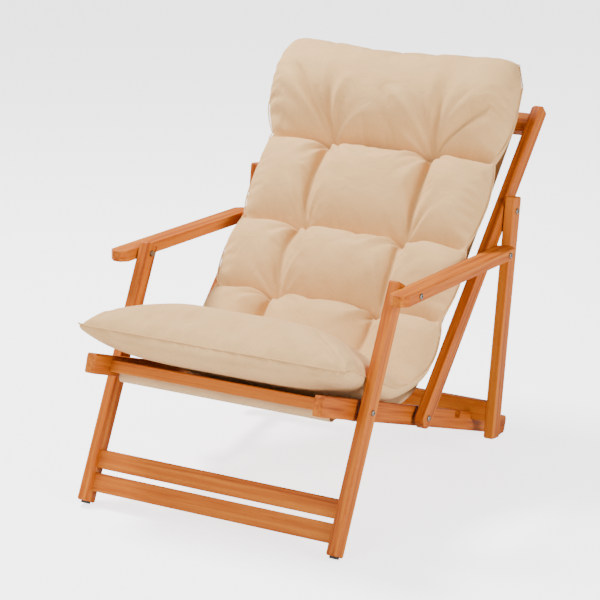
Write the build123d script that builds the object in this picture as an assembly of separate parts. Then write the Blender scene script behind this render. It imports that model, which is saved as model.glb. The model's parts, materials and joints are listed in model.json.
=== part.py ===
"""Folding deck chair with armrests, a canvas sling and one long tufted cushion.

Frame: +Z up, the sitter looks along -Y, X runs across. The origin is on the floor, in the
middle of the chair's box. Left and right are as seen from in front of the chair.

Side view: the seat rails carry everything. The front legs turn on them at the front pivot, the
back posts at the rear pivot, and each armrest joins a leg to a post, so rail, leg, armrest and
post make a four-bar linkage. The rear struts hang from the posts, and their cross board drops
into notches in the rails.
"""

import os
from math import cos, radians, sin

from build123d import *

# Timber, all sizes in millimetres
STOCK = 20.0  # thickness of every upright slat, across the chair
RAIL_DEPTH = 38.0
LEG_DEPTH = 35.0
POST_DEPTH = 36.0
STRUT_DEPTH = 35.0
ARM_WIDTH = 40.0
ARM_DEPTH = 22.0
EDGE_ROUND = 2.5  # eased edges of the timber
END_ROUND = 4.5  # rounded corners at the ends of the slats
REAR_ROUND = 10.0  # rounded corners at the rear ends of the rails

# Across the chair, from the middle outwards
RAIL_INSIDE = 232.0
SPACER = 7.0  # between a rail and the leg or post beside it
WASHER = 1.5  # between a post and the strut or armrest beside it
SLIDE_GAP = 0.2  # free play on each moving face

# Seat rails, measured from the rear pivot
RAIL_SLOPE = 19.2  # degrees, down towards the back
RAIL_FRONT = 386.0
RAIL_REAR = 446.0
PIVOT_SPACING = 243.0  # front pivot to rear pivot
REAR_PIVOT_Y = 371.0

# Notches for the strut board
NOTCH_WIDTH = 26.0
NOTCH_PITCH = 78.0
NOTCH_FLOOR_GAP = 0.6
NOTCHES_AHEAD = (-1, 0, 1)  # in pitches from the notch in use, front to back
NOTCH_ROUND = 4.0

# Front legs, measured from the front pivot
LEG_TILT = 27.0  # degrees from upright, leaning back
LEG_UP = 224.0  # to the armrest pivot
LEG_TOP = 19.0  # beyond the armrest pivot
LEG_SLAT_DEPTH = 36.0
LEG_SLAT_THICK = 18.0
LEG_SLAT_GAP = 9.0
LEG_SLAT_DROP = 164.0  # front pivot to the upper slat's top edge
LEG_SLAT_INSET = 11.0  # behind the front of the legs

# Back posts, measured from the rear pivot
POST_RISE = 45.3  # degrees above level
POST_TO_ARM = 372.0
POST_TO_STRUT = 472.0
POST_LENGTH = 716.0
POST_HEEL = 20.0  # below the rear pivot
POST_TOP_CHAMFER = 10.0
TOP_BAR_DEPTH = 44.0
TOP_BAR_THICK = 20.0
TOP_BAR_DROP = 20.0  # below the top of the posts

# Rear struts, measured from the strut pivot
STRUT_TILT = 8.4  # degrees from upright
STRUT_TOP = 28.0
STRUT_FOOT = 460.0
BOARD_TOP = 386.0
BOARD_DEPTH = 40.0
BOARD_THICK = 20.0

# Armrests
ARM_AHEAD = 57.0  # beyond the leg pivot
ARM_BEHIND = 35.0  # beyond the post pivot
ARM_CORNER = 12.0  # cut corners, seen from above

# Front crossbar and the sling's rod
BAR_BACK = 56.0  # rail front to the crossbar's front face
BAR_DEPTH = 22.0
BAR_THICK = 20.0
ROD_RADIUS = 7.0
ROD_GAP = 5.0  # crossbar to the rod's sleeve
ROD_DROP = 8.0  # below the middle of the rails

# Fittings
BOLT_RADIUS = 3.0
BOLT_PLAY = 0.05  # radial, where a slat turns on its bolt
HEAD_RADIUS = 5.6
HEAD_HEIGHT = 3.2
HEAD_CROWN = 2.2
SOCKET_RADIUS = 2.3
SOCKET_DEPTH = 1.6
NUT_RADIUS = 6.0
NUT_HEIGHT = 5.0
SPACER_RADIUS = 7.5
WASHER_RADIUS = 7.0
DOWEL_RADIUS = 4.0
DOWEL_LENGTH = 30.0
GLIDE_RADIUS = 9.0
LEG_GLIDE = 4.0
RAIL_GLIDE = 3.0
GLIDE_INSET = 16.0  # rail's rear end to the middle of its glide
GLIDE_PIN_RADIUS = 1.5
GLIDE_PIN_LENGTH = 12.0

# Soft parts
CANVAS = 2.0
SLING_HALF_WIDTH = 226.0
SLING_SAG = 22.0  # below the middle of the rails
BEND_SAG = 6.0  # where the canvas turns up behind the seat
SLING_LOW_AT = 182.0  # ahead of the rear pivot
SLING_TURN_AT = 80.0  # ahead of the rear pivot
SLING_JOIN_AT = 50.0  # along the posts
SLING_JOIN_GAP = 4.0
SLING_BACK_AT = 300.0  # along the posts
SLING_BENDS = [120.0, 90.0]  # radii under the seat and behind it
SLING_BACK_BEND = 600.0
HEM_ROUND = 2.0
SEAT_HALF_WIDTH = 256.0  # between the legs
BACK_HALF_WIDTH = 272.0  # in front of the posts
CUSHION_LOWER = 218.0  # half width between the rails
CUSHION_GAP = 2.0  # clear of the timber
SEAT_THICK = 104.0
SEAT_AHEAD = 38.0  # beyond the rails
SEAT_REAR = 70.0  # ahead of the rear pivot
BEND_FOOT = 50.0  # along the posts from the rear pivot
BACK_THICK = 94.0
BACK_FROM = 168.0  # along the posts, high enough to clear the seat when the back folds
BACK_TO = 510.0
HEAD_TO = 758.0
HEAD_THICK = 120.0
CUSHION_ROUND = 34.0
CUSHION_SINK = 16.0  # how far the cushion sinks between the timbers
BUTTON_RADIUS = 9.0
BUTTON_HEIGHT = 6.0
BUTTON_COLUMN = 118.0
BUTTON_ROWS = (180.0, 328.0, 499.0)  # along the posts

# Places across the chair
RAIL_OUTSIDE = RAIL_INSIDE + STOCK
LEG_INSIDE = RAIL_OUTSIDE + SPACER + 2 * SLIDE_GAP
LEG_OUTSIDE = LEG_INSIDE + STOCK
STRUT_INSIDE = LEG_OUTSIDE + WASHER + 2 * SLIDE_GAP
STRUT_OUTSIDE = STRUT_INSIDE + STOCK
ARM_OUTSIDE = STRUT_INSIDE + ARM_WIDTH

# The rear pivot's height sets the rails down on their glides
GLIDE_AT = RAIL_REAR - GLIDE_INSET
REAR_PIVOT = (
    REAR_PIVOT_Y,
    (GLIDE_AT + GLIDE_RADIUS) * sin(radians(RAIL_SLOPE))
    + (RAIL_DEPTH / 2 + RAIL_GLIDE) * cos(radians(RAIL_SLOPE)),
)


def step(start, degrees_up, along, left=0.0):
    """A point `along` a line that rises degrees_up from +Y, and `left` of that line."""
    a = radians(degrees_up)
    return (
        start[0] + along * cos(a) - left * sin(a),
        start[1] + along * sin(a) + left * cos(a),
    )


def on_rail(back, up=0.0):
    """A side-view point on the rails: back from the rear pivot, and up from the middle."""
    return step(REAR_PIVOT, -RAIL_SLOPE, back, up)


FRONT_PIVOT = on_rail(-PIVOT_SPACING)


def on_leg(up, ahead=0.0):
    """A side-view point on the legs: up from the front pivot, and ahead of the middle."""
    return step(FRONT_PIVOT, 90 - LEG_TILT, up, ahead)


def on_post(up, ahead=0.0):
    """A side-view point on the posts: up from the rear pivot, and ahead of the middle."""
    return step(REAR_PIVOT, POST_RISE, up, ahead)


STRUT_PIVOT = on_post(POST_TO_STRUT)


def on_strut(down, ahead=0.0):
    """A side-view point on the struts: down from the strut pivot, and ahead of the middle."""
    return step(STRUT_PIVOT, 90 - STRUT_TILT, -down, ahead)


LEG_ARM_PIVOT = on_leg(LEG_UP)
POST_ARM_PIVOT = on_post(POST_TO_ARM)
ARM_LINE = Vector(*POST_ARM_PIVOT) - Vector(*LEG_ARM_PIVOT)
ARM_SLOPE = -ARM_LINE.get_angle(Vector(1, 0)) if ARM_LINE.Y < 0 else ARM_LINE.get_angle(Vector(1, 0))

# The leg is as long as it takes to set its glide on the floor
LEG_DOWN = (FRONT_PIVOT[1] - GLIDE_RADIUS * sin(radians(LEG_TILT))) / cos(radians(LEG_TILT)) - LEG_GLIDE


def side_face(points, roundings=0.0):
    """A face in the side view through the points, with its corners rounded."""
    face = make_face(Polyline(*points, close=True))
    return fillet(face.vertices(), roundings) if roundings else face


def across(face, inside, outside):
    """A side-view face made solid from x = inside to x = outside."""
    plane = Plane(origin=(inside, 0, 0), x_dir=(0, 1, 0), z_dir=(1, 0, 0))
    return extrude(plane * face, amount=outside - inside)


def eased(solid, radius=EDGE_ROUND):
    """The solid with every edge rounded that doesn't run across the chair."""
    return fillet(solid.edges().filter_by(Axis.X, reverse=True), radius)


def disc(place, radius, inside, outside):
    """A round bar across the chair, at a side-view place."""
    return across(Pos(*place) * Circle(radius), inside, outside)


def bored(solid, places, radius):
    """The solid with a hole across the chair at each side-view place."""
    for place in places:
        solid -= disc(place, radius, 0, ARM_OUTSIDE + STOCK)
    return solid


def mirrored(solid):
    """The same piece on the other side of the chair."""
    return mirror(solid, about=Plane.YZ)


def both(solid):
    """The piece on both sides."""
    return [solid, mirrored(solid)]


def bolt(place, under_head, tip):
    """A round-headed bolt that points inwards, from under_head to tip."""
    head = across(Pos(*place) * Circle(HEAD_RADIUS), under_head, under_head + HEAD_HEIGHT)
    head = fillet(head.edges().group_by(Axis.X)[-1], HEAD_CROWN)
    socket = Pos(*place) * RegularPolygon(SOCKET_RADIUS, 6)
    head -= across(socket, under_head + HEAD_HEIGHT - SOCKET_DEPTH, under_head + HEAD_HEIGHT)
    return head + disc(place, BOLT_RADIUS, tip, under_head)


def nut(place, face):
    """A hexagon nut on the inner side of x = face."""
    body = across(Pos(*place) * RegularPolygon(NUT_RADIUS, 6), face - NUT_HEIGHT, face)
    return body - disc(place, BOLT_RADIUS, face - NUT_HEIGHT, face)


def ring(place, radius, hole, inside, outside):
    """A washer or spacer."""
    return disc(place, radius, inside, outside) - disc(place, hole, inside, outside)


def dowel(place, joint):
    """A dowel that crosses the joint between two timbers at x = joint."""
    return disc(place, DOWEL_RADIUS, joint - DOWEL_LENGTH / 2, joint + DOWEL_LENGTH / 2)


def dowel_pair(point, low, high, thick_middle):
    """Two dowel places on a cross piece, a quarter in from each of its edges."""
    quarter = (high - low) / 4
    return [point(low + quarter, thick_middle), point(high - quarter, thick_middle)]


def cross_piece(corners, half_length, places, radius=EDGE_ROUND):
    """A cross piece between two timbers, drilled at both ends for its dowels."""
    bar = across(side_face(corners, radius), -half_length, half_length)
    for place in places:
        for end in both(disc(place, DOWEL_RADIUS, half_length - DOWEL_LENGTH / 2, half_length)):
            bar -= end
    return bar


def socketed(solid, places, face):
    """An upright drilled for the dowels that come through x = face."""
    for place in places:
        solid -= disc(place, DOWEL_RADIUS, face, face + DOWEL_LENGTH / 2)
    return solid


def rectangle(point, low, high, behind, ahead):
    """The corners of a rectangle along one of the slats."""
    return [point(low, behind), point(high, behind), point(high, ahead), point(low, ahead)]


def slat_side(point, low, high, depth):
    """The corners of a slat of this depth along its own line."""
    return rectangle(point, low, high, -depth / 2, depth / 2)


# Cross pieces
BAR_AT = -RAIL_FRONT + BAR_BACK
BAR_DOWELS = [on_rail(BAR_AT + BAR_THICK / 2, up) for up in (-BAR_DEPTH / 4, BAR_DEPTH / 4)]
TOP_BAR_TO = POST_LENGTH - TOP_BAR_DROP
TOP_BAR_FROM = TOP_BAR_TO - TOP_BAR_DEPTH
TOP_DOWELS = dowel_pair(on_post, TOP_BAR_FROM, TOP_BAR_TO, 0)
SLAT_MIDDLE = LEG_DEPTH / 2 - LEG_SLAT_INSET - LEG_SLAT_THICK / 2
SLAT_TOPS = {
    "upper": -LEG_SLAT_DROP,
    "lower": -LEG_SLAT_DROP - LEG_SLAT_DEPTH - LEG_SLAT_GAP,
}
SLAT_DOWELS = {
    name: dowel_pair(on_leg, top - LEG_SLAT_DEPTH, top, SLAT_MIDDLE) for name, top in SLAT_TOPS.items()
}
BOARD_MIDDLE = (STRUT_DEPTH - BOARD_THICK) / 2
BOARD_BOTTOM = BOARD_TOP + BOARD_DEPTH
BOARD_DOWELS = dowel_pair(on_strut, BOARD_TOP, BOARD_BOTTOM, BOARD_MIDDLE)
ROD_AT = (BAR_AT + BAR_THICK + ROD_GAP + ROD_RADIUS + CANVAS, -ROD_DROP)


def rail_frame(place):
    """A side-view place as (back, up) on the rails."""
    offset = Vector(*place) - Vector(*REAR_PIVOT)
    a = radians(RAIL_SLOPE)
    return offset.X * cos(a) - offset.Y * sin(a), offset.X * sin(a) + offset.Y * cos(a)


# The notch in use is set by where the board's lower corners come
BOARD_CORNERS = [
    rail_frame(on_strut(BOARD_BOTTOM, BOARD_MIDDLE + half)) for half in (BOARD_THICK / 2, -BOARD_THICK / 2)
]
NOTCH_FLOOR = min(up for _, up in BOARD_CORNERS) - NOTCH_FLOOR_GAP
BOARD_LEAN = sin(radians(RAIL_SLOPE - STRUT_TILT)) * (RAIL_DEPTH / 2 - NOTCH_FLOOR) / 2
NOTCH_AT = sum(back for back, _ in BOARD_CORNERS) / 2 - BOARD_LEAN


def seat_rail():
    outline = side_face(slat_side(on_rail, -RAIL_FRONT, RAIL_REAR, RAIL_DEPTH))
    by_rear = outline.vertices().sort_by_distance(on_rail(RAIL_REAR))
    outline = fillet(by_rear[:2], REAR_ROUND)
    outline = fillet(outline.vertices().sort_by_distance(on_rail(-RAIL_FRONT))[:2], END_ROUND)
    for count in NOTCHES_AHEAD:
        middle = NOTCH_AT + count * NOTCH_PITCH
        low, high = middle - NOTCH_WIDTH / 2, middle + NOTCH_WIDTH / 2
        outline -= side_face(rectangle(on_rail, low, high, NOTCH_FLOOR, RAIL_DEPTH), NOTCH_ROUND)
    rail = eased(across(outline, RAIL_INSIDE, RAIL_OUTSIDE), EDGE_ROUND / 2)
    rail = bored(rail, [FRONT_PIVOT, REAR_PIVOT], BOLT_RADIUS)
    rail -= disc(on_rail(*ROD_AT), ROD_RADIUS, RAIL_INSIDE, RAIL_INSIDE + STOCK / 2)
    return socketed(rail, BAR_DOWELS, RAIL_INSIDE) - glide_pin(rail_glide_plane())


def front_leg():
    outline = side_face(slat_side(on_leg, -LEG_DOWN, LEG_UP + LEG_TOP, LEG_DEPTH), END_ROUND)
    leg = eased(across(outline, LEG_INSIDE, LEG_OUTSIDE))
    leg = bored(leg, [FRONT_PIVOT], BOLT_RADIUS + BOLT_PLAY)
    leg = bored(leg, [LEG_ARM_PIVOT], BOLT_RADIUS)
    for places in SLAT_DOWELS.values():
        leg = socketed(leg, places, LEG_INSIDE)
    return leg - glide_pin(leg_glide_plane())


def back_post():
    outline = side_face(slat_side(on_post, -POST_HEEL, POST_LENGTH, POST_DEPTH))
    corners = outline.vertices().sort_by_distance(on_post(POST_LENGTH, POST_DEPTH / 2))
    outline = chamfer(corners[0], POST_TOP_CHAMFER)
    heel = outline.vertices().sort_by_distance(on_post(-POST_HEEL))[:2]
    outline = fillet(heel, POST_DEPTH / 2 - EDGE_ROUND)
    outline = fillet(outline.vertices().sort_by_distance(on_post(POST_LENGTH))[:3], END_ROUND)
    post = eased(across(outline, LEG_INSIDE, LEG_OUTSIDE))
    post = bored(post, [REAR_PIVOT], BOLT_RADIUS + BOLT_PLAY)
    post = bored(post, [POST_ARM_PIVOT, STRUT_PIVOT], BOLT_RADIUS)
    return socketed(post, TOP_DOWELS, LEG_INSIDE)


def rear_strut():
    outline = side_face(slat_side(on_strut, -STRUT_TOP, STRUT_FOOT, STRUT_DEPTH), END_ROUND)
    strut = eased(across(outline, STRUT_INSIDE, STRUT_OUTSIDE))
    strut = bored(strut, [STRUT_PIVOT], BOLT_RADIUS + BOLT_PLAY)
    return socketed(strut, BOARD_DOWELS, STRUT_INSIDE)


def armrest():
    plane = Plane(
        origin=(STRUT_INSIDE + ARM_WIDTH / 2, *LEG_ARM_PIVOT),
        x_dir=(0, cos(radians(ARM_SLOPE)), sin(radians(ARM_SLOPE))),
        z_dir=(0, -sin(radians(ARM_SLOPE)), cos(radians(ARM_SLOPE))),
    )
    length = ARM_AHEAD + ARM_LINE.length + ARM_BEHIND
    outline = Pos((length / 2 - ARM_AHEAD), 0) * Rectangle(length, ARM_WIDTH)
    outline = chamfer(outline.vertices(), ARM_CORNER)
    outline = fillet(outline.vertices(), EDGE_ROUND)
    slat = extrude(plane * outline, amount=ARM_DEPTH / 2, both=True)
    flat = slat.faces().sort_by(Axis.Z)
    slat = fillet(flat[0].edges() + flat[-1].edges(), EDGE_ROUND)
    slat = bored(slat, [LEG_ARM_PIVOT], BOLT_RADIUS)
    return bored(slat, [POST_ARM_PIVOT], BOLT_RADIUS + BOLT_PLAY)


def leg_glide_plane():
    """The cut foot of the right leg, facing the floor."""
    return Plane(
        origin=((LEG_INSIDE + LEG_OUTSIDE) / 2, *on_leg(-LEG_DOWN)),
        x_dir=(1, 0, 0),
        z_dir=(0, -sin(radians(LEG_TILT)), -cos(radians(LEG_TILT))),
    )


def rail_glide_plane():
    """The underside of the right rail near its rear end, facing the floor."""
    return Plane(
        origin=((RAIL_INSIDE + RAIL_OUTSIDE) / 2, *on_rail(GLIDE_AT, -RAIL_DEPTH / 2)),
        x_dir=(1, 0, 0),
        z_dir=(0, -sin(radians(RAIL_SLOPE)), -cos(radians(RAIL_SLOPE))),
    )


def glide_pin(plane):
    return extrude(plane * Circle(GLIDE_PIN_RADIUS), amount=-GLIDE_PIN_LENGTH)


def glide(plane, height):
    """A moulded glide with its pin in the timber."""
    pad = extrude(plane * Circle(GLIDE_RADIUS), amount=height)
    return pad + glide_pin(plane)


def sleeve(centre, radius):
    """The sewn sleeve of the sling round a bar."""
    return Pos(*centre) * Circle(radius + CANVAS) - Pos(*centre) * Circle(radius)


# The two canvas solids meet behind the rear pivot, a hair apart
SLING_JOIN = on_post(SLING_JOIN_AT, -BEND_SAG)
SLING_JOIN_BACK = on_post(SLING_JOIN_AT + SLING_JOIN_GAP, -BEND_SAG)


def canvas(points, radii):
    """A strip of canvas along a side-view path, its bends rounded."""
    return trace(FilletPolyline(*points, radius=radii), CANVAS)


def sling_seat():
    rod = on_rail(*ROD_AT)
    start = on_rail(ROD_AT[0] + ROD_RADIUS + CANVAS / 2, ROD_AT[1])
    low = on_rail(-SLING_LOW_AT, -SLING_SAG)
    rear = on_rail(-SLING_TURN_AT, -BEND_SAG)
    strip = canvas([start, low, rear, SLING_JOIN], SLING_BENDS)
    return across(strip + sleeve(rod, ROD_RADIUS + SLIDE_GAP), -SLING_HALF_WIDTH, SLING_HALF_WIDTH)


def sling_back():
    hem = TOP_BAR_THICK / 2 + SLIDE_GAP
    below, above = TOP_BAR_FROM - HEM_ROUND, TOP_BAR_TO + HEM_ROUND / 2
    top = on_post(below - CANVAS / 2, -hem - CANVAS / 2)
    middle = on_post(SLING_BACK_AT, -SLING_SAG)
    strip = canvas([SLING_JOIN_BACK, middle, top], [SLING_BACK_BEND])
    outer = rectangle(on_post, below - CANVAS, above + CANVAS, -hem - CANVAS, hem + CANVAS)
    inner = rectangle(on_post, below, above, -hem, hem)
    sleeve_face = side_face(outer, HEM_ROUND + CANVAS) - side_face(inner, HEM_ROUND)
    return across(strip + sleeve_face, -SLING_HALF_WIDTH, SLING_HALF_WIDTH)


SEAT_UNDER = RAIL_DEPTH / 2 + CUSHION_GAP
BACK_UNDER = POST_DEPTH / 2 + CUSHION_GAP


def cushion_seat():
    low, high = SEAT_UNDER, SEAT_UNDER + SEAT_THICK
    side = side_face(rectangle(on_rail, -RAIL_FRONT - SEAT_AHEAD, -SEAT_REAR, low, high))
    nose = side.vertices().sort_by_distance(on_rail(-RAIL_FRONT - SEAT_AHEAD, high / 2))[:2]
    block = across(fillet(nose, CUSHION_ROUND), -SEAT_HALF_WIDTH, SEAT_HALF_WIDTH)
    behind_rod = ROD_AT[0] + ROD_RADIUS + CUSHION_ROUND
    sunk = rectangle(on_rail, behind_rod, -SEAT_REAR, low - CUSHION_SINK, low)
    return block + across(side_face(sunk), -CUSHION_LOWER, CUSHION_LOWER)


def cushion_bend():
    """The soft fold between the seat and the back."""
    low, high = SEAT_UNDER, SEAT_UNDER + SEAT_THICK
    ahead = -SEAT_REAR + CUSHION_GAP
    back_low, back_high = BACK_UNDER, BACK_UNDER + BACK_THICK
    up = BACK_FROM - CUSHION_GAP
    side = [on_rail(ahead, low), on_rail(ahead, high), on_post(up, back_high), on_post(up, back_low)]
    side.append(on_post(BEND_FOOT, back_low))
    return across(side_face(side), -SEAT_HALF_WIDTH, SEAT_HALF_WIDTH)


def cushion_back():
    low, high = BACK_UNDER, BACK_UNDER + BACK_THICK
    side = side_face(rectangle(on_post, BACK_FROM, BACK_TO, low, high))
    block = across(side, -BACK_HALF_WIDTH, BACK_HALF_WIDTH)
    sunk = rectangle(on_post, BACK_FROM, BACK_TO, low - CUSHION_SINK, low)
    return block + across(side_face(sunk), -CUSHION_LOWER, CUSHION_LOWER)


def cushion_headrest():
    low = BACK_UNDER
    face = side_face(rectangle(on_post, BACK_TO + 1, HEAD_TO, low, low + HEAD_THICK), CUSHION_ROUND)
    return across(face, -BACK_HALF_WIDTH, BACK_HALF_WIDTH)


def tuft_buttons():
    buttons = []
    for row in BUTTON_ROWS:
        lift = BACK_UNDER + BACK_THICK
        plane = Plane(
            origin=(BUTTON_COLUMN, *on_post(row, lift)),
            x_dir=(1, 0, 0),
            z_dir=(0, -sin(radians(POST_RISE)), cos(radians(POST_RISE))),
        )
        button = extrude(plane * Circle(BUTTON_RADIUS), amount=BUTTON_HEIGHT)
        buttons += both(fillet(button.edges().sort_by(Axis.Z)[-1], BUTTON_HEIGHT / 2))
    return buttons


def pairs(places, joint):
    """Dowels on both sides of the chair."""
    return [piece for place in places for piece in both(dowel(place, joint))]


def build():
    nodes = {}

    def add(name, *solids):
        nodes[name] = list(solids)

    for name, solid in {
        "seat_rail": seat_rail(),
        "front_leg": front_leg(),
        "back_post": back_post(),
        "rear_strut": rear_strut(),
        "armrest": armrest(),
    }.items():
        add(f"{name}_right", solid)
        add(f"{name}_left", mirrored(solid))

    bar = rectangle(on_rail, BAR_AT, BAR_AT + BAR_THICK, -BAR_DEPTH / 2, BAR_DEPTH / 2)
    add("front_crossbar", cross_piece(bar, RAIL_INSIDE, BAR_DOWELS))
    top = rectangle(on_post, TOP_BAR_FROM, TOP_BAR_TO, -TOP_BAR_THICK / 2, TOP_BAR_THICK / 2)
    add("top_crossbar", cross_piece(top, LEG_INSIDE, TOP_DOWELS))
    behind, ahead = BOARD_MIDDLE - BOARD_THICK / 2, BOARD_MIDDLE + BOARD_THICK / 2
    board = rectangle(on_strut, BOARD_TOP, BOARD_BOTTOM, behind, ahead)
    add("strut_cross_board", cross_piece(board, STRUT_INSIDE, BOARD_DOWELS, EDGE_ROUND * 0.6))
    for name, slat_top in SLAT_TOPS.items():
        half = LEG_SLAT_THICK / 2
        slat = rectangle(on_leg, slat_top - LEG_SLAT_DEPTH, slat_top, SLAT_MIDDLE - half, SLAT_MIDDLE + half)
        add(f"leg_slat_{name}", cross_piece(slat, LEG_INSIDE, SLAT_DOWELS[name]))
    add("sling_rod", disc(on_rail(*ROD_AT), ROD_RADIUS, -RAIL_INSIDE - STOCK / 2, RAIL_INSIDE + STOCK / 2))

    add("crossbar_dowels", *pairs(BAR_DOWELS, RAIL_INSIDE))
    add("top_crossbar_dowels", *pairs(TOP_DOWELS, LEG_INSIDE))
    add("strut_board_dowels", *pairs(BOARD_DOWELS, STRUT_INSIDE))
    add("leg_slat_dowels", *[d for places in SLAT_DOWELS.values() for d in pairs(places, LEG_INSIDE)])

    for name, place in {"front": FRONT_PIVOT, "rear": REAR_PIVOT}.items():
        head = LEG_OUTSIDE + SLIDE_GAP
        add(f"{name}_pivot_bolts", *both(bolt(place, head, RAIL_INSIDE - NUT_HEIGHT)))
        add(f"{name}_pivot_nuts", *both(nut(place, RAIL_INSIDE)))
        spacer = ring(place, SPACER_RADIUS, BOLT_RADIUS, RAIL_OUTSIDE, RAIL_OUTSIDE + SPACER)
        add(f"{name}_pivot_spacers", *both(spacer))
    outer = {"strut": (STRUT_PIVOT, STRUT_OUTSIDE), "armrest_rear": (POST_ARM_PIVOT, ARM_OUTSIDE)}
    for name, (place, face) in outer.items():
        add(f"{name}_bolts", *both(bolt(place, face + SLIDE_GAP, LEG_INSIDE - NUT_HEIGHT)))
        add(f"{name}_nuts", *both(nut(place, LEG_INSIDE)))
        washer = ring(place, WASHER_RADIUS, BOLT_RADIUS, LEG_OUTSIDE, LEG_OUTSIDE + WASHER)
        add(f"{name}_washers", *both(washer))
    # The leg's armrest pivot is two short bolts that meet with a gap, so the linkage is open here
    add("armrest_front_bolts", *both(bolt(LEG_ARM_PIVOT, ARM_OUTSIDE, STRUT_INSIDE)))
    stub = disc(LEG_ARM_PIVOT, BOLT_RADIUS, LEG_INSIDE - NUT_HEIGHT, LEG_OUTSIDE + WASHER)
    add("leg_top_studs", *both(stub))
    add("leg_top_nuts", *both(nut(LEG_ARM_PIVOT, LEG_INSIDE)))
    washer = ring(LEG_ARM_PIVOT, WASHER_RADIUS, BOLT_RADIUS, LEG_OUTSIDE, LEG_OUTSIDE + WASHER)
    add("leg_top_washers", *both(washer))

    add("leg_glides", *both(glide(leg_glide_plane(), LEG_GLIDE)))
    add("rail_glides", *both(glide(rail_glide_plane(), RAIL_GLIDE)))

    add("sling_seat", sling_seat())
    add("sling_back", sling_back())
    add("cushion_seat", cushion_seat())
    add("cushion_bend", cushion_bend())
    add("cushion_back", cushion_back())
    add("cushion_headrest", cushion_headrest())
    add("tuft_buttons", *tuft_buttons())
    return nodes


def main():
    nodes = build()
    boxes = [solid.bounding_box() for solids in nodes.values() for solid in solids]
    front, back = min(box.min.Y for box in boxes), max(box.max.Y for box in boxes)
    middle = (front + back) / 2
    centred = Pos(0, -middle, 0)
    top = max(box.max.Z for box in boxes)
    print(f"depth {back - front:.1f}, height {top:.1f}, floor {min(box.min.Z for box in boxes):.2f}")
    pivots = {"front": FRONT_PIVOT, "rear": REAR_PIVOT, "strut": STRUT_PIVOT}
    pivots.update({"leg_arm": LEG_ARM_PIVOT, "post_arm": POST_ARM_PIVOT})
    for name, (y, z) in pivots.items():
        print(f"{name} pivot at y {y - middle:.4f}, z {z:.4f}")
    os.makedirs("parts", exist_ok=True)
    for name, solids in nodes.items():
        moved = [centred * solid for solid in solids]
        export_step(moved[0] if len(moved) == 1 else Compound(children=moved), f"parts/{name}.step")


main()
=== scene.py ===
"""Folding deck chair: the look of the beech frame, the canvas sling and the tufted cushion."""

import json
import logging
from dataclasses import dataclass, field
from enum import Enum
from math import cos, pi, radians, sin
from typing import ClassVar

import bmesh
import bpy
import numpy as np
from mathutils import Matrix, Vector

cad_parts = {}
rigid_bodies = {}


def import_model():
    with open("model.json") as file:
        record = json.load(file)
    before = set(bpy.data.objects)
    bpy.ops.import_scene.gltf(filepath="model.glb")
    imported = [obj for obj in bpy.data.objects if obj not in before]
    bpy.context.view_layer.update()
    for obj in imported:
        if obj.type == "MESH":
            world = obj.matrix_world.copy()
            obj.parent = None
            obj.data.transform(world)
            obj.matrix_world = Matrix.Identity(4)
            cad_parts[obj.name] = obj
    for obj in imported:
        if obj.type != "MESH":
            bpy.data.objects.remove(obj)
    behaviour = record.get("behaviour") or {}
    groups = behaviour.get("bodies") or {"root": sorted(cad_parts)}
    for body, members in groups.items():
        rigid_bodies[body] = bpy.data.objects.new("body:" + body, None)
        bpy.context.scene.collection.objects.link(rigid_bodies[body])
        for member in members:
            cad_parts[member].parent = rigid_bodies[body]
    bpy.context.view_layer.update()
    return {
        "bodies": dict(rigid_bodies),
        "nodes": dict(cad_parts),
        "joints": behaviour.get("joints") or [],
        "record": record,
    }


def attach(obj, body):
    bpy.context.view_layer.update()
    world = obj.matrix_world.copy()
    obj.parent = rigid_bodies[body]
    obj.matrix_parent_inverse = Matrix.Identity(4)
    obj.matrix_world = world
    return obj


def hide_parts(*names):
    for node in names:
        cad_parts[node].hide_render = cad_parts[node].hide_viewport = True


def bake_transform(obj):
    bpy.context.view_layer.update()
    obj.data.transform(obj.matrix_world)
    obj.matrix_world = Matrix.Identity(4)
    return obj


log = logging.getLogger("deck_chair")

# The side-view frames of the rails and of the posts, from the rear pivot
REAR_PIVOT = (-0.0651710, 0.1651487)
RAIL_SLOPE = -19.2
POST_RISE = 45.3
LEG_TILT = 27.0
STRUT_TILT = 8.4
ARM_SLOPE = -2.2178

# Steps between two knots of a smooth line, and how sharp a sewn channel is at its bottom
STEPS_PER_KNOT = 60
CHANNEL_SHARPNESS = 0.85


def side_point(degrees_up: float, along, up) -> tuple:
    """A side-view point from the rear pivot.

    Args:
        degrees_up: How steeply the line rises towards the back.
        along: Distance along the line, in metres; a number or an array.
        up: Distance to the upper side of the line.

    Returns:
        The Y and Z of the point.
    """
    a = radians(degrees_up)
    return (
        REAR_PIVOT[0] + along * cos(a) - up * sin(a),
        REAR_PIVOT[1] + along * sin(a) + up * cos(a),
    )


def on_rail(back, up) -> tuple:
    """A side-view point measured along the rails.

    Args:
        back: Metres back from the rear pivot.
        up: Metres above the line.

    Returns:
        The Y and Z of the point.
    """
    return side_point(RAIL_SLOPE, back, up)


def on_post(along, ahead) -> tuple:
    """A side-view point measured along the posts.

    Args:
        along: Metres up the posts from the rear pivot.
        ahead: Metres in front of the line.

    Returns:
        The Y and Z of the point.
    """
    return side_point(POST_RISE, along, ahead)


def linear(colour: str) -> tuple[float, float, float, float]:
    """An sRGB hex colour as linear RGBA.

    Args:
        colour: Six hex digits, with or without a leading hash.

    Returns:
        Red, green, blue and alpha for a shader socket.
    """
    digits = colour.lstrip("#")
    parts = [int(digits[i : i + 2], 16) / 255 for i in (0, 2, 4)]
    rgb = [c / 12.92 if c <= 0.04045 else ((c + 0.055) / 1.055) ** 2.4 for c in parts]
    return (*rgb, 1.0)


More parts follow.
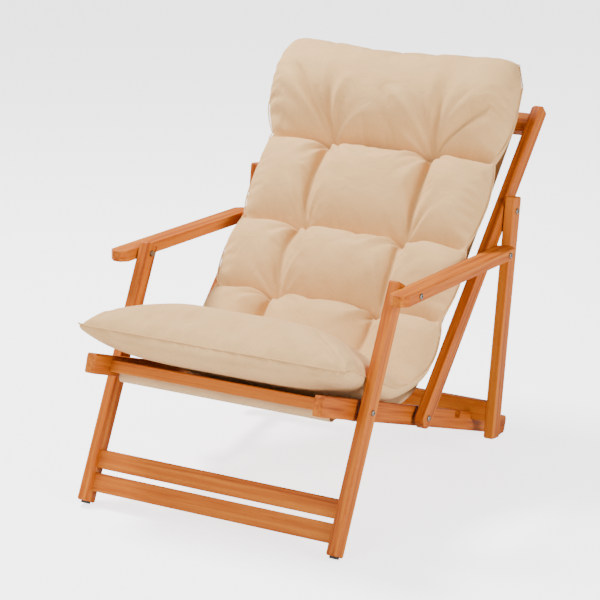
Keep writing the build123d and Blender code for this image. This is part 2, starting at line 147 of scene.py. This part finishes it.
class Graph:
    """A material's nodes, added one at a time."""

    def __init__(self, name: str) -> None:
        self.material = bpy.data.materials.new(name)
        self.material.use_nodes = True
        self.tree = self.material.node_tree
        self.shader = self.tree.nodes["Principled BSDF"]

    def add(self, kind: str, inputs: dict | None = None, **settings) -> bpy.types.Node:
        """Adds a node.

        Args:
            kind: The node's type name without its ShaderNode prefix.
            inputs: Values or sockets for its inputs, by name or index.
            **settings: Attributes of the node.

        Returns:
            The new node.
        """
        node = self.tree.nodes.new(f"ShaderNode{kind}")
        for key, value in settings.items():
            setattr(node, key, value)
        for key, value in (inputs or {}).items():
            self.feed(node, key, value)
        return node

    def feed(self, node: bpy.types.Node, key: str | int, value) -> None:
        """Sets or links one input of a node.

        Args:
            node: The node.
            key: The input's name or index.
            value: A value, or the socket that feeds it.
        """
        if isinstance(value, bpy.types.NodeSocket):
            self.tree.links.new(value, node.inputs[key])
        else:
            node.inputs[key].default_value = value

    def noise(self, vector, scale: float, detail: float, **inputs) -> bpy.types.NodeSocket:
        """A noise from 0 to 1.

        Args:
            vector: Where it is read.
            scale: How fine it is.
            detail: How many octaves it has.
            **inputs: Any other inputs.

        Returns:
            Its value.
        """
        settings = {"Vector": vector, "Scale": scale, "Detail": detail, **inputs}
        return self.add("TexNoise", settings).outputs["Fac"]

    def math(self, operation: str, first, second) -> bpy.types.NodeSocket:
        """Two values combined.

        Args:
            operation: The operation.
            first: A value or socket.
            second: A value or socket.

        Returns:
            The result.
        """
        return self.add("Math", {0: first, 1: second}, operation=operation).outputs[0]

    def vectors(self, operation: str, first, second) -> bpy.types.NodeSocket:
        """Two vectors combined.

        Args:
            operation: The operation.
            first: A vector or socket.
            second: A vector or socket.

        Returns:
            The result.
        """
        return self.add("VectorMath", {0: first, 1: second}, operation=operation).outputs[0]

    def mix(self, share, first, second) -> bpy.types.NodeSocket:
        """Two colours mixed.

        Args:
            share: The second colour's share.
            first: A colour or socket.
            second: A colour or socket.

        Returns:
            The mixed colour.
        """
        return self.add("Mix", {"Factor": share, 6: first, 7: second}, data_type="RGBA").outputs[2]

    def ramp(self, fac, stops: list[tuple[float, tuple]]) -> bpy.types.NodeSocket:
        """A colour ramp through the stops.

        Args:
            fac: The socket that drives it.
            stops: Places from 0 to 1 with their linear colours.

        Returns:
            The colour.
        """
        node = self.add("ValToRGB", {"Fac": fac})
        elements = node.color_ramp.elements
        while len(elements) < len(stops):
            elements.new(0.5)
        for element, (place, colour) in zip(elements, stops):
            element.position = place
            element.color = colour
        return node.outputs["Color"]

    def bump(self, height, distance: float, strength: float = 1.0, under=None) -> bpy.types.NodeSocket:
        """A bump of the given height in metres, over an earlier one if there is one.

        Args:
            height: The socket it is read from.
            distance: Its height in metres.
            strength: How strongly it shows.
            under: An earlier normal, if there is one.

        Returns:
            The normal.
        """
        node = self.add("Bump", {"Height": height, "Distance": distance, "Strength": strength})
        if under is not None:
            self.feed(node, "Normal", under)
        return node.outputs["Normal"]

    def dress(self, **inputs) -> bpy.types.Material:
        """Feeds the shader, with underscores for spaces, and returns the material.

        Args:
            **inputs: The shader's inputs by name.

        Returns:
            The material.
        """
        for key, value in inputs.items():
            self.feed(self.shader, key.replace("_", " "), value)
        return self.material


class Grain(Enum):
    """Which way a piece of timber's grain runs, as degrees up towards the back, or across."""

    RAIL = RAIL_SLOPE
    POST = POST_RISE
    LEG = 90 - LEG_TILT
    STRUT = 90 - STRUT_TILT
    ARM = ARM_SLOPE
    ACROSS = None


@dataclass(frozen=True)
class OiledBeech:
    """Red-brown oiled beech with lengthwise grain and beech flecks."""

    light: str = "#C4701F"
    middle: str = "#B25A14"
    dark: str = "#873A08"
    knot: str = "#4A200A"
    roughness: float = 0.5
    specular: float = 0.14
    wander: float = 0.012
    fleck_share: float = 0.28

    def build(self, grain: Grain) -> bpy.types.Material:
        """The beech with its grain along one direction.

        Args:
            grain: Which way the grain runs.

        Returns:
            The material.
        """
        g = Graph(f"oiled beech, grain {grain.name.lower()}")
        place = g.add("TexCoord").outputs["Object"]
        across = grain is Grain.ACROSS
        angles = (0, 0, radians(90)) if across else (radians(-grain.value), 0, 0)
        turned = g.add("Mapping", {"Vector": place, "Rotation": angles}).outputs[0]
        wander = g.noise(turned, 3.0, 2.0)
        drift = g.vectors("MULTIPLY", turned, (1.0, 0.02, 1.0))
        shift = g.math("MULTIPLY", wander, self.wander)
        bent = g.vectors("ADD", drift, shift)
        bands = g.noise(bent, 160.0, 5.0, Roughness=0.6)
        broad = g.noise(bent, 28.0, 2.0)
        half = g.math("MULTIPLY", g.math("ADD", bands, broad), 0.5)
        stops = [(0.38, linear(self.dark)), (0.49, linear(self.middle)), (0.60, linear(self.light))]
        colour = g.ramp(half, stops)
        fleck_at = g.vectors("MULTIPLY", turned, (1.0, 0.12, 1.0))
        fleck = g.noise(fleck_at, 700.0, 1.0)
        flecked = g.ramp(fleck, [(0.62, (0, 0, 0, 1)), (0.74, (1, 1, 1, 1))])
        share = g.math("MULTIPLY", flecked, self.fleck_share)
        stained = g.mix(share, colour, linear(self.dark))
        knots = g.add("TexVoronoi", {"Vector": turned, "Scale": 5.0, "Randomness": 1.0}).outputs["Distance"]
        knot = g.ramp(knots, [(0.008, (1, 1, 1, 1)), (0.03, (0, 0, 0, 1))])
        knotted = g.mix(knot, stained, linear(self.knot))
        normal = g.bump(bands, 0.0004, 0.5)
        return g.dress(
            Base_Color=knotted, Roughness=self.roughness, Normal=normal, Specular_IOR_Level=self.specular
        )


@dataclass(frozen=True)
class WovenCloth:
    """A plain-woven cloth, its threads drawn along the cloth's UV, in metres."""

    name: str
    colour: str
    shade: str
    thread_mm: float
    roughness: float
    sheen: float

    def build(self) -> bpy.types.Material:
        """The cloth's material.

        Returns:
            The material.
        """
        g = Graph(self.name)
        uv = g.add("TexCoord").outputs["UV"]
        parts = g.add("SeparateXYZ", {0: uv})
        waves = []
        for axis in ("X", "Y"):
            turns = g.math("MULTIPLY", parts.outputs[axis], 2000 * pi / self.thread_mm)
            waves.append(g.add("Math", {0: turns}, operation="SINE").outputs[0])
        weave = g.math("MULTIPLY", waves[0], waves[1])
        slub = g.noise(uv, 380.0, 3.0)
        tone = g.noise(uv, 14.0, 3.0)
        half = g.math("MULTIPLY", g.math("ADD", slub, tone), 0.5)
        colour = g.ramp(half, [(0.3, linear(self.shade)), (0.6, linear(self.colour))])
        creases = g.noise(uv, 26.0, 4.0, Distortion=1.2)
        normal = g.bump(creases, 0.006, 0.4)
        normal = g.bump(weave, 0.00012, 0.6, normal)
        return g.dress(Base_Color=colour, Roughness=self.roughness, Normal=normal, Sheen_Weight=self.sheen)


@dataclass(frozen=True)
class Plain:
    """A material of one colour with a fine, uneven surface."""

    name: str
    colour: str
    metallic: float
    roughness: float
    grain: float
    mottle: float = 0.8
    glow: float = 0.0

    def build(self) -> bpy.types.Material:
        """The material.

        Returns:
            The material.
        """
        g = Graph(self.name)
        place = g.add("TexCoord").outputs["Object"]
        noise = g.noise(place, self.grain, 3.0)
        colour = linear(self.colour)
        darker = tuple(c * self.mottle for c in colour[:3]) + (1.0,)
        tone = g.ramp(noise, [(0.35, darker), (0.65, colour)])
        normal = g.bump(noise, 0.0002, 0.4)
        g.dress(Base_Color=tone, Metallic=self.metallic, Roughness=self.roughness, Normal=normal)
        if not self.glow:
            return g.material
        seen = g.add("LightPath").outputs["Is Camera Ray"]
        glow = g.math("MULTIPLY", seen, self.glow)
        return g.dress(Emission_Color=colour, Emission_Strength=glow)


COTTON = WovenCloth("woven cotton cushion cover", "#E0B377", "#D5A668", 0.9, 0.85, 0.05)
CANVAS = WovenCloth("woven canvas sling", "#DDB683", "#CFA675", 1.6, 0.88, 0.1)
ZINC = Plain("zinc-plated steel", "#8F8C86", 1.0, 0.38, 900.0)
PLASTIC = Plain("moulded black plastic", "#17181A", 0.0, 0.5, 1500.0)
FLOOR = Plain("pale studio floor", "#F6F5F5", 0.0, 0.95, 3.0, mottle=1.0, glow=2.8)


def new_piece(name: str, bm: bmesh.types.BMesh, material: bpy.types.Material) -> bpy.types.Object:
    """A shown object from a bmesh, smooth-shaded and dressed.

    Args:
        name: The piece's name.
        bm: Its shape, which is freed.
        material: Its finish.

    Returns:
        The new object.
    """
    mesh = bpy.data.meshes.new(name)
    bm.to_mesh(mesh)
    bm.free()
    for polygon in mesh.polygons:
        polygon.use_smooth = True
    mesh.materials.append(material)
    piece = bpy.data.objects.new(name, mesh)
    bpy.context.collection.objects.link(piece)
    return piece


@dataclass
class Frame:
    """The timber, fittings and glides, which keep their CAD solids."""

    nodes: dict
    beech: OiledBeech = field(default_factory=OiledBeech)

    GRAINS: ClassVar[dict[str, Grain]] = {
        "seat_rail": Grain.RAIL,
        "front_leg": Grain.LEG,
        "back_post": Grain.POST,
        "rear_strut": Grain.STRUT,
        "armrest_left": Grain.ARM,
        "armrest_right": Grain.ARM,
    }
    FITTINGS: ClassVar[tuple[str, ...]] = ("bolts", "nuts", "washers", "spacers", "studs")

    def dress(self) -> None:
        """Gives every frame node its material."""
        timber = {grain: self.beech.build(grain) for grain in Grain}
        zinc, plastic = ZINC.build(), PLASTIC.build()
        for name, node in self.nodes.items():
            if name.endswith(self.FITTINGS):
                material = zinc
            elif name.endswith("glides"):
                material = plastic
            else:
                grains = [g for start, g in self.GRAINS.items() if name.startswith(start)]
                material = timber[grains[0] if grains else Grain.ACROSS]
            node.data.materials.clear()
            node.data.materials.append(material)
        log.info("frame: %d CAD nodes dressed", len(self.nodes))


def smooth_line(knots: list[tuple[float, float]], count: int) -> np.ndarray:
    """Points evenly spaced by arc length on a Catmull-Rom line through the knots.

    Args:
        knots: The points the line passes through.
        count: How many points to return.

    Returns:
        An array of count points.
    """
    k = np.array([knots[0], *knots, knots[-1]], float)
    k[0], k[-1] = 2 * k[1] - k[2], 2 * k[-2] - k[-3]
    dense = []
    for i in range(1, len(k) - 2):
        t = np.linspace(0, 1, STEPS_PER_KNOT, endpoint=False)[:, None]
        a, b, c, d = k[i - 1], k[i], k[i + 1], k[i + 2]
        square, cubic = 2 * a - 5 * b + 4 * c - d, 3 * b - a - 3 * c + d
        dense.append(0.5 * (2 * b + (c - a) * t + square * t**2 + cubic * t**3))
    dense = np.vstack([*dense, k[-2][None]])
    length = np.concatenate([[0], np.cumsum(np.linalg.norm(np.diff(dense, axis=0), axis=1))])
    even = np.linspace(0, length[-1], count)
    return np.stack([np.interp(even, length, dense[:, i]) for i in range(2)], axis=1)


def valley(distance, width: float):
    """1 at a channel's line, falling off to 0 over its width, sharp at the bottom.

    Args:
        distance: Metres from the line; a number or an array.
        width: The channel's width in metres.

    Returns:
        The depth, from 0 to 1.
    """
    return np.exp(-((np.abs(distance) / width) ** CHANNEL_SHARPNESS))


def up_the_back(along: np.ndarray) -> np.ndarray:
    """0 on the seat and 1 on the back, changing quickly just above the bend.

    Args:
        along: Metres up the posts from the rear pivot.

    Returns:
        The share at each point.
    """
    return 1 / (1 + np.exp(-(along - 0.10) / 0.012))


@dataclass
class Cushion:
    """The long cushion: two panels sewn together at mid-thickness, tied through at six tufts."""

    cells: tuple[int, int] = (232, 104)
    column: float = 0.119
    rows: tuple[float, ...] = (0.180, 0.340, 0.532)
    seam_radius: float = 0.0013
    seam_sides: int = 8
    cover_size: tuple[float, float] = (1.28, 0.53)
    row_depth: float = 0.80
    column_depth: float = 0.46
    tie_depth: float = 0.98
    pleat_depth: float = 0.10
    pressure: float = 4.0
    shrink: float = -0.02
    bending: float = 0.05
    frames: int = 20
    most_moved: float = 0.024
    button_radius: float = 0.0078
    button_lift: float = 0.003
    lower: list = field(default_factory=lambda: [
        on_rail(-0.392, 0.024), on_rail(-0.330, 0.0205), on_rail(-0.200, 0.012), on_rail(-0.100, 0.006),
        on_post(0.055, 0.006), on_post(0.160, 0.018), on_post(0.300, 0.021), on_post(0.480, 0.021),
        on_post(0.630, 0.022), on_post(0.742, 0.048),
    ])
    upper: list = field(default_factory=lambda: [
        on_rail(-0.398, 0.108), on_rail(-0.330, 0.117), on_rail(-0.230, 0.107), on_rail(-0.135, 0.097),
        on_post(0.098, 0.112), on_post(0.180, 0.108), on_post(0.300, 0.112), on_post(0.470, 0.124),
        on_post(0.630, 0.158), on_post(0.758, 0.146),
    ])
    # Half width against the distance back from the rear pivot on the rails, then up the posts
    seat_widths: tuple = ((-0.42, 0.283), (-0.33, 0.277), (-0.27, 0.257), (-0.20, 0.256), (-0.12, 0.262))
    back_widths: tuple = ((0.10, 0.264), (0.50, 0.263), (0.60, 0.274), (0.70, 0.272), (0.76, 0.252))

    def outline(self, along: np.ndarray, back: np.ndarray) -> tuple[np.ndarray, np.ndarray]:
        """The cushion's half width and how far it is off the middle, at each station.

        Args:
            along: Metres up the posts.
            back: Metres back along the rails.

        Returns:
            The half width and the offset, in metres.
        """
        on_seat = np.interp(back, *np.array(self.seat_widths).T)
        on_back = np.interp(along, *np.array(self.back_widths).T)
        share = np.clip((along - 0.02) / 0.10, 0, 1)
        middle = np.interp(along, [0.0, 0.15, 0.50, 0.60, 0.75], [0.004, 0.011, 0.008, -0.004, -0.014])
        return on_seat * (1 - share) + on_back * share, middle

    def dips(self, along: np.ndarray, back: np.ndarray, x: np.ndarray, across: np.ndarray) -> np.ndarray:
        """How far the cover is drawn in, from 0 on a full puff to 1 where a tie goes through.

        Args:
            along: Metres up the posts.
            back: Metres back along the rails.
            x: Metres from the middle.
            across: Place across, from -1 to 1.

        Returns:
            The depth at each point.
        """
        up_back = up_the_back(along)
        dip = np.maximum.reduce(
            [self.row_depth * valley(along - row, 0.024) * up_back + 0 * x for row in self.rows]
        )
        crease = 0.60 * valley(back + 0.075, 0.030) * (along < 0.16)
        dip = np.maximum(dip, crease + 0 * x)
        columns = valley(np.abs(x) - self.column, 0.018)
        reach = np.clip((along + 0.02) / 0.08, 0, 1) * np.clip((0.60 - along) / 0.08, 0, 1)
        dip = dip + self.column_depth * columns * reach * (1 - dip)
        for row in self.rows:
            for side in (-1, 1):
                up, out = along - row, x - side * self.column
                near, turn = np.hypot(up, out), np.arctan2(up, out)
                dip = np.maximum(dip, self.tie_depth * np.exp(-((near / 0.030) ** 0.9)))
                pleats = np.cos(9 * turn + 7 * row * side) + 0.7 * np.cos(15 * turn + 3 * side + 20 * row)
                reach = 0.050 + 0.035 * (np.sin(turn) > 0) * (row == self.rows[-1])
                dip = dip - self.pleat_depth * pleats * np.exp(-near / reach) * (near / (near + 0.008))
        edge = np.sin(along * 190 + 5 * np.sin(along * 31)) * np.clip((np.abs(across) - 0.80) / 0.2, 0, 1)
        return dip + 0.03 * edge * np.clip((along + 0.02) / 0.08, 0, 1)

    def panel_points(self) -> tuple[np.ndarray, np.ndarray, np.ndarray, np.ndarray]:
        """The grid of the two panels.

        Returns:
            Upper points, lower points, distance along the posts of each upper point, and each
            point's place across the cushion.
        """
        n, m = self.cells
        low = smooth_line(self.lower, n + 1)[:, None, :]
        high = smooth_line(self.upper, n + 1)[:, None, :]
        across = np.linspace(-1, 1, m + 1)[None, :]
        across = np.sign(across) * np.abs(across) ** 0.9
        end = np.linspace(-1, 1, n + 1)[:, None]
        offset = (low + high) / 2 - np.array(REAR_PIVOT)
        along = offset[..., 0] * cos(radians(POST_RISE)) + offset[..., 1] * sin(radians(POST_RISE))
        back = offset[..., 0] * cos(radians(RAIL_SLOPE)) + offset[..., 1] * sin(radians(RAIL_SLOPE))
        full = 4.6 + 4.4 * np.clip((along - 0.54) / 0.06, 0, 1)
        fill = np.clip(1 - np.abs(end) ** 26, 0, 1) ** 0.5 * np.clip(1 - np.abs(across) ** full, 0, 1) ** 0.5
        wide, middle = self.outline(along, back)
        x = across * wide
        dip = self.dips(along, back, x, across)
        top = 0.5 + 0.5 * fill - 0.93 * dip * fill
        under = 0.5 - 0.5 * fill
        up_back = up_the_back(along)
        pinch = 1 - 0.06 * np.maximum.reduce([valley(along - r, 0.032) * up_back for r in self.rows])
        ears = 1 + 0.03 * np.clip(-end, 0, 1) ** 24 * np.abs(across) ** 8
        xs = x * pinch * ears + middle
        up = low + (high - low) * top[..., None]
        down = low + (high - low) * under[..., None]
        return (
            np.dstack([xs, up[..., 0], up[..., 1]]),
            np.dstack([xs, down[..., 0], down[..., 1]]),
            along + 0 * x,
            x,
        )

    def sewn(self) -> tuple[bpy.types.Object, dict[int, float], list[int]]:
        """The two panels sewn along their edges.

        Returns:
            The cover, how firmly each point is held, and the points round the seam.
        """
        n, m = self.cells
        upper, lower, along, x = self.panel_points()
        bm = bmesh.new()
        tops = [[bm.verts.new(upper[i, j]) for j in range(m + 1)] for i in range(n + 1)]

        def sewn_at(i: int, j: int) -> bool:
            return i in (0, n) or j in (0, m)

        unders = [
            [tops[i][j] if sewn_at(i, j) else bm.verts.new(lower[i, j]) for j in range(m + 1)]
            for i in range(n + 1)
        ]
        uv = bm.loops.layers.uv.new("cloth")
        size = (self.cover_size[0] / n, self.cover_size[1] / m)
        for grid, flip, offset in ((tops, False, 0.0), (unders, True, 3.0)):
            for i in range(n):
                for j in range(m):
                    ring = [(i, j), (i, j + 1), (i + 1, j + 1), (i + 1, j)]
                    ring = ring[::-1] if flip else ring
                    face = bm.faces.new([grid[a][b] for a, b in ring])
                    for loop, (a, b) in zip(face.loops, ring):
                        loop[uv].uv = (a * size[0] + offset, b * size[1])
        bm.verts.index_update()
        held = {}
        for i in range(n + 1):
            for j in range(m + 1):
                tie = min(np.hypot(along[i, j] - row, abs(x[i, j]) - self.column) for row in self.rows)
                channel = min(abs(along[i, j] - row) for row in self.rows)
                column = abs(abs(x[i, j]) - self.column) if 0.0 < along[i, j] < 0.56 else 1.0
                held[tops[i][j].index] = 1.0 if tie < 0.009 else 0.9 if min(channel, column) < 0.003 else 0.0
                if not sewn_at(i, j):
                    held[unders[i][j].index] = 1.0
        around = [(i, 0) for i in range(n)] + [(n, j) for j in range(m)]
        around += [(i, m) for i in range(n, 0, -1)] + [(0, j) for j in range(m, 0, -1)]
        seam = [tops[i][j].index for i, j in around]
        bmesh.ops.recalc_face_normals(bm, faces=bm.faces)
        return new_piece("long_cushion", bm, COTTON.build()), held, seam

    def plump(self, piece: bpy.types.Object, held: dict[int, float]) -> None:
        """Fills the cover: the cloth is a little larger than its filling and wrinkles between the ties.

        Args:
            piece: The cover.
            held: How firmly each point is held, by its index.
        """
        rest = np.array([v.co for v in piece.data.vertices])
        group = piece.vertex_groups.new(name="held")
        for index, weight in held.items():
            if weight:
                group.add([index], weight, "REPLACE")
        cloth = piece.modifiers.new("filling", "CLOTH")
        settings = cloth.settings
        settings.quality = 5
        settings.mass = 0.25
        settings.tension_stiffness = 10
        settings.compression_stiffness = 10
        settings.shear_stiffness = 4
        settings.bending_stiffness = self.bending
        settings.use_pressure = True
        settings.uniform_pressure_force = self.pressure
        settings.shrink_min = self.shrink
        settings.vertex_group_mass = "held"
        settings.effector_weights.gravity = 0
        cloth.collision_settings.use_collision = False
        cloth.point_cache.frame_start = 1
        cloth.point_cache.frame_end = self.frames
        scene = bpy.context.scene
        for frame in range(1, self.frames + 1):
            scene.frame_set(frame)
        evaluated = piece.evaluated_get(bpy.context.evaluated_depsgraph_get())
        moved = np.array([v.co for v in evaluated.data.vertices])
        scene.frame_set(1)
        piece.modifiers.remove(cloth)
        piece.vertex_groups.remove(group)
        step = moved - rest
        length = np.linalg.norm(step, axis=1, keepdims=True)
        step *= np.minimum(1, self.most_moved / np.maximum(length, 1e-9))
        for vertex, place in zip(piece.data.vertices, rest + step):
            vertex.co = place
        log.info("cushion: the filling moved the cover by up to %.1f mm", 1000 * float(length.max()))

    def seam_cord(self, piece: bpy.types.Object, seam: list[int]) -> bpy.types.Object:
        """The folded ridge of cloth along the seam between the two panels.

        Args:
            piece: The filled cover.
            seam: The points round its seam.

        Returns:
            The ridge.
        """
        line = np.array([piece.data.vertices[i].co for i in seam])
        ahead = np.roll(line, -1, axis=0) - np.roll(line, 1, axis=0)
        ahead /= np.linalg.norm(ahead, axis=1, keepdims=True)
        out = line - line.mean(axis=0)
        out -= ahead * np.sum(out * ahead, axis=1, keepdims=True)
        out /= np.linalg.norm(out, axis=1, keepdims=True)
        third = np.cross(ahead, out)
        sides = self.seam_sides
        bm = bmesh.new()
        uv = bm.loops.layers.uv.new("cloth")
        rings = []
        for k in range(len(line)):
            turns = [2 * pi * s / sides for s in range(sides)]
            ring = [line[k] + self.seam_radius * (out[k] * cos(t) + third[k] * sin(t)) for t in turns]
            rings.append([bm.verts.new(p) for p in ring])
        for k, ring in enumerate(rings):
            after = rings[(k + 1) % len(rings)]
            for s in range(sides):
                t = (s + 1) % sides
                face = bm.faces.new([ring[s], ring[t], after[t], after[s]])
                for loop, (a, b) in zip(face.loops, ((k, s), (k, s + 1), (k + 1, s + 1), (k + 1, s))):
                    loop[uv].uv = (a * 0.0055, b * 0.001)
        bmesh.ops.recalc_face_normals(bm, faces=bm.faces)
        return new_piece("cushion_seam", bm, COTTON.build())

    def buttons(self, piece: bpy.types.Object) -> bpy.types.Object:
        """The self-covered buttons, each seated on the cover at its tie.

        Args:
            piece: The filled cover.

        Returns:
            The buttons.
        """
        n, m = self.cells
        _, _, along, x = self.panel_points()
        bm = bmesh.new()
        tilt = Vector((0, -sin(radians(POST_RISE)), cos(radians(POST_RISE))))
        turn = Vector((0, 0, 1)).rotation_difference(tilt).to_matrix().to_4x4()
        for row in self.rows:
            for side in (-1, 1):
                near = np.hypot(along - row, x - side * self.column)
                i, j = np.unravel_index(np.argmin(near), near.shape)
                centre = piece.data.vertices[int(i * (m + 1) + j)].co + tilt * self.button_lift
                made = bmesh.ops.create_uvsphere(
                    bm, u_segments=24, v_segments=12, radius=self.button_radius
                )
                bmesh.ops.scale(bm, vec=(1, 1, 0.6), verts=made["verts"])
                bmesh.ops.transform(bm, matrix=turn, verts=made["verts"])
                bmesh.ops.translate(bm, vec=centre, verts=made["verts"])
        return new_piece("covered_buttons", bm, COTTON.build())

    def build(self) -> list[bpy.types.Object]:
        """The cushion, its seam and its buttons, the buttons attached to the back frame.

        Returns:
            The three pieces.
        """
        piece, held, seam = self.sewn()
        self.plump(piece, held)
        cord = self.seam_cord(piece, seam)
        smoother = piece.modifiers.new("smoother cloth", "SUBSURF")
        smoother.levels = 1
        smoother.render_levels = 1
        buttons = self.buttons(piece)
        for soft in (piece, cord):
            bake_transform(soft)
        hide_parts("cushion_seat", "cushion_bend", "cushion_back", "cushion_headrest")
        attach(buttons, "back_frame")
        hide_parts("tuft_buttons")
        log.info("cushion: built with %d tufts", 2 * len(self.rows))
        return [piece, cord, buttons]


@dataclass
class Sling:
    """The canvas under the cushion, with a sleeve round the front rod and one round the top bar."""

    half_width: float = 0.226
    thickness: float = 0.0016
    cells_across: int = 60
    rod: tuple[float, float] = (-0.2960, -0.008)
    sleeve_radius: float = 0.0085
    points: int = 420

    def line(self) -> np.ndarray:
        """The canvas in side view, from the end of one sleeve to the end of the other.

        Returns:
            Its points, evenly spaced.
        """
        back, up = self.rod
        r = self.sleeve_radius
        loop = [on_rail(back + r * cos(a), up + r * sin(a)) for a in np.linspace(-0.2, pi, 8)]
        droop = [on_rail(back - 0.006, up - 0.016), on_rail(back + 0.004, up - 0.019)]
        droop += [on_rail(back + 0.018, up - 0.013)]
        seat = [on_rail(back + 0.05, -0.019), on_rail(-0.19, -0.022), on_rail(-0.10, -0.009)]
        bend = [on_post(0.050, -0.006), on_post(0.13, -0.012)]
        rise = [on_post(0.30, -0.022), on_post(0.50, -0.018), on_post(0.640, -0.0125)]
        bar = [on_post(0.672, -0.0120), on_post(0.6985, -0.0090), on_post(0.6985, 0.0090)]
        bar += [on_post(0.674, 0.0120), on_post(0.640, -0.0085)]
        return smooth_line(loop + droop + seat + bend + rise + bar, self.points)

    def build(self) -> bpy.types.Object:
        """The canvas as one sheet, shaped round the bend from the seat to the back.

        Returns:
            The sheet.
        """
        line = self.line()
        length = float(np.linalg.norm(np.diff(line, axis=0), axis=1).sum())
        bm = bmesh.new()
        across = np.linspace(-self.half_width, self.half_width, self.cells_across + 1)
        normal = np.gradient(line, axis=0)
        normal = np.stack([-normal[:, 1], normal[:, 0]], axis=1)
        normal /= np.linalg.norm(normal, axis=1, keepdims=True)
        share = np.linspace(0, 1, len(line))
        free = np.clip(np.minimum((share - 0.12) / 0.08, (0.80 - share) / 0.1), 0, 1)
        uv = bm.loops.layers.uv.new("cloth")
        grid = []
        for k, point in enumerate(line):
            belly = -0.004 * free[k] * (1 - (across / self.half_width) ** 2)
            ripple = 0.0012 * free[k] * np.sin(across * 40 + 9 * share[k]) * np.sin(share[k] * 31)
            offset = belly + ripple
            grid.append([bm.verts.new((x, *(point + normal[k] * o))) for x, o in zip(across, offset)])
        for k in range(len(line) - 1):
            for j in range(self.cells_across):
                face = bm.faces.new([grid[k][j], grid[k][j + 1], grid[k + 1][j + 1], grid[k + 1][j]])
                corners = [(k, j), (k, j + 1), (k + 1, j + 1), (k + 1, j)]
                for loop, (a, b) in zip(face.loops, corners):
                    loop[uv].uv = (a / (len(line) - 1) * length, float(across[b]))
        piece = new_piece("canvas_sling", bm, CANVAS.build())
        thick = piece.modifiers.new("thickness", "SOLIDIFY")
        thick.thickness = self.thickness
        thick.offset = 0
        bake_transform(piece)
        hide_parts("sling_seat", "sling_back")
        log.info("sling: %.0f mm of canvas", 1000 * length)
        return piece


@dataclass(frozen=True)
class Softbox:
    """A square studio light."""

    name: str
    place: tuple[float, float, float]
    side: float
    watts: float
    colour: str = "#FFFFFF"

    def hang(self, target: Vector) -> None:
        """Hangs the light, facing the chair.

        Args:
            target: The point it faces.
        """
        lamp = bpy.data.lights.new(self.name, "AREA")
        lamp.energy = self.watts
        lamp.size = self.side
        lamp.color = linear(self.colour)[:3]
        holder = bpy.data.objects.new(self.name, lamp)
        bpy.context.collection.objects.link(holder)
        holder.location = self.place
        holder.rotation_euler = (target - Vector(self.place)).to_track_quat("-Z", "Y").to_euler()


@dataclass
class Studio:
    """The floor, the lights and the camera."""

    eye: tuple[float, float, float] = (2.065, -3.729, 1.600)
    target: tuple[float, float, float] = (0.0155, -0.0954, 0.3675)
    roll: float = 0.3
    lens: float = 136.2
    aim: tuple[float, float, float] = (0, 0, 0.4)
    floor_half: float = 12.0
    surround: float = 0.42
    boxes: tuple[Softbox, ...] = (
        Softbox("key", (-1.6, 0.2, 3.1), 0.9, 212.0),
        Softbox("fill", (3.3, -0.7, 1.5), 1.4, 120.0),
        Softbox("front", (-0.8, -3.6, 2.0), 1.8, 82.0),
    )

    def build(self) -> None:
        """Sets the studio up round the chair."""
        bm = bmesh.new()
        bmesh.ops.create_grid(bm, x_segments=1, y_segments=1, size=self.floor_half)
        floor = new_piece("floor", bm, FLOOR.build())
        world = bpy.data.worlds.new("white studio")
        bpy.context.scene.world = world
        world.use_nodes = True
        background = world.node_tree.nodes["Background"]
        background.inputs["Color"].default_value = linear("#FFFFFF")
        background.inputs["Strength"].default_value = self.surround
        for box in self.boxes:
            box.hang(Vector(self.aim))
        lens = bpy.data.cameras.new("camera")
        lens.lens = self.lens
        lens.sensor_width = 36.0
        camera = bpy.data.objects.new("camera", lens)
        bpy.context.collection.objects.link(camera)
        camera.location = self.eye
        look = (Vector(self.target) - Vector(self.eye)).to_track_quat("-Z", "Y").to_matrix()
        look = look @ Matrix.Rotation(radians(self.roll), 3, Vector((0, 0, 1)))
        camera.rotation_euler = look.to_euler()
        bpy.context.scene.camera = camera
        log.info("studio: %d lights", len(self.boxes))


def main() -> None:
    """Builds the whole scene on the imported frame."""
    logging.basicConfig(level=logging.INFO, format="%(name)s: %(message)s")
    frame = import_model()
    soft = ("cushion", "tuft_buttons", "sling_seat", "sling_back")
    Frame({name: node for name, node in frame["nodes"].items() if not name.startswith(soft)}).dress()
    for piece in (*Cushion().build(), Sling().build()):
        log.info("%s: %d faces", piece.name, len(piece.data.polygons))
    Studio().build()


if __name__ == "__main__":
    main()
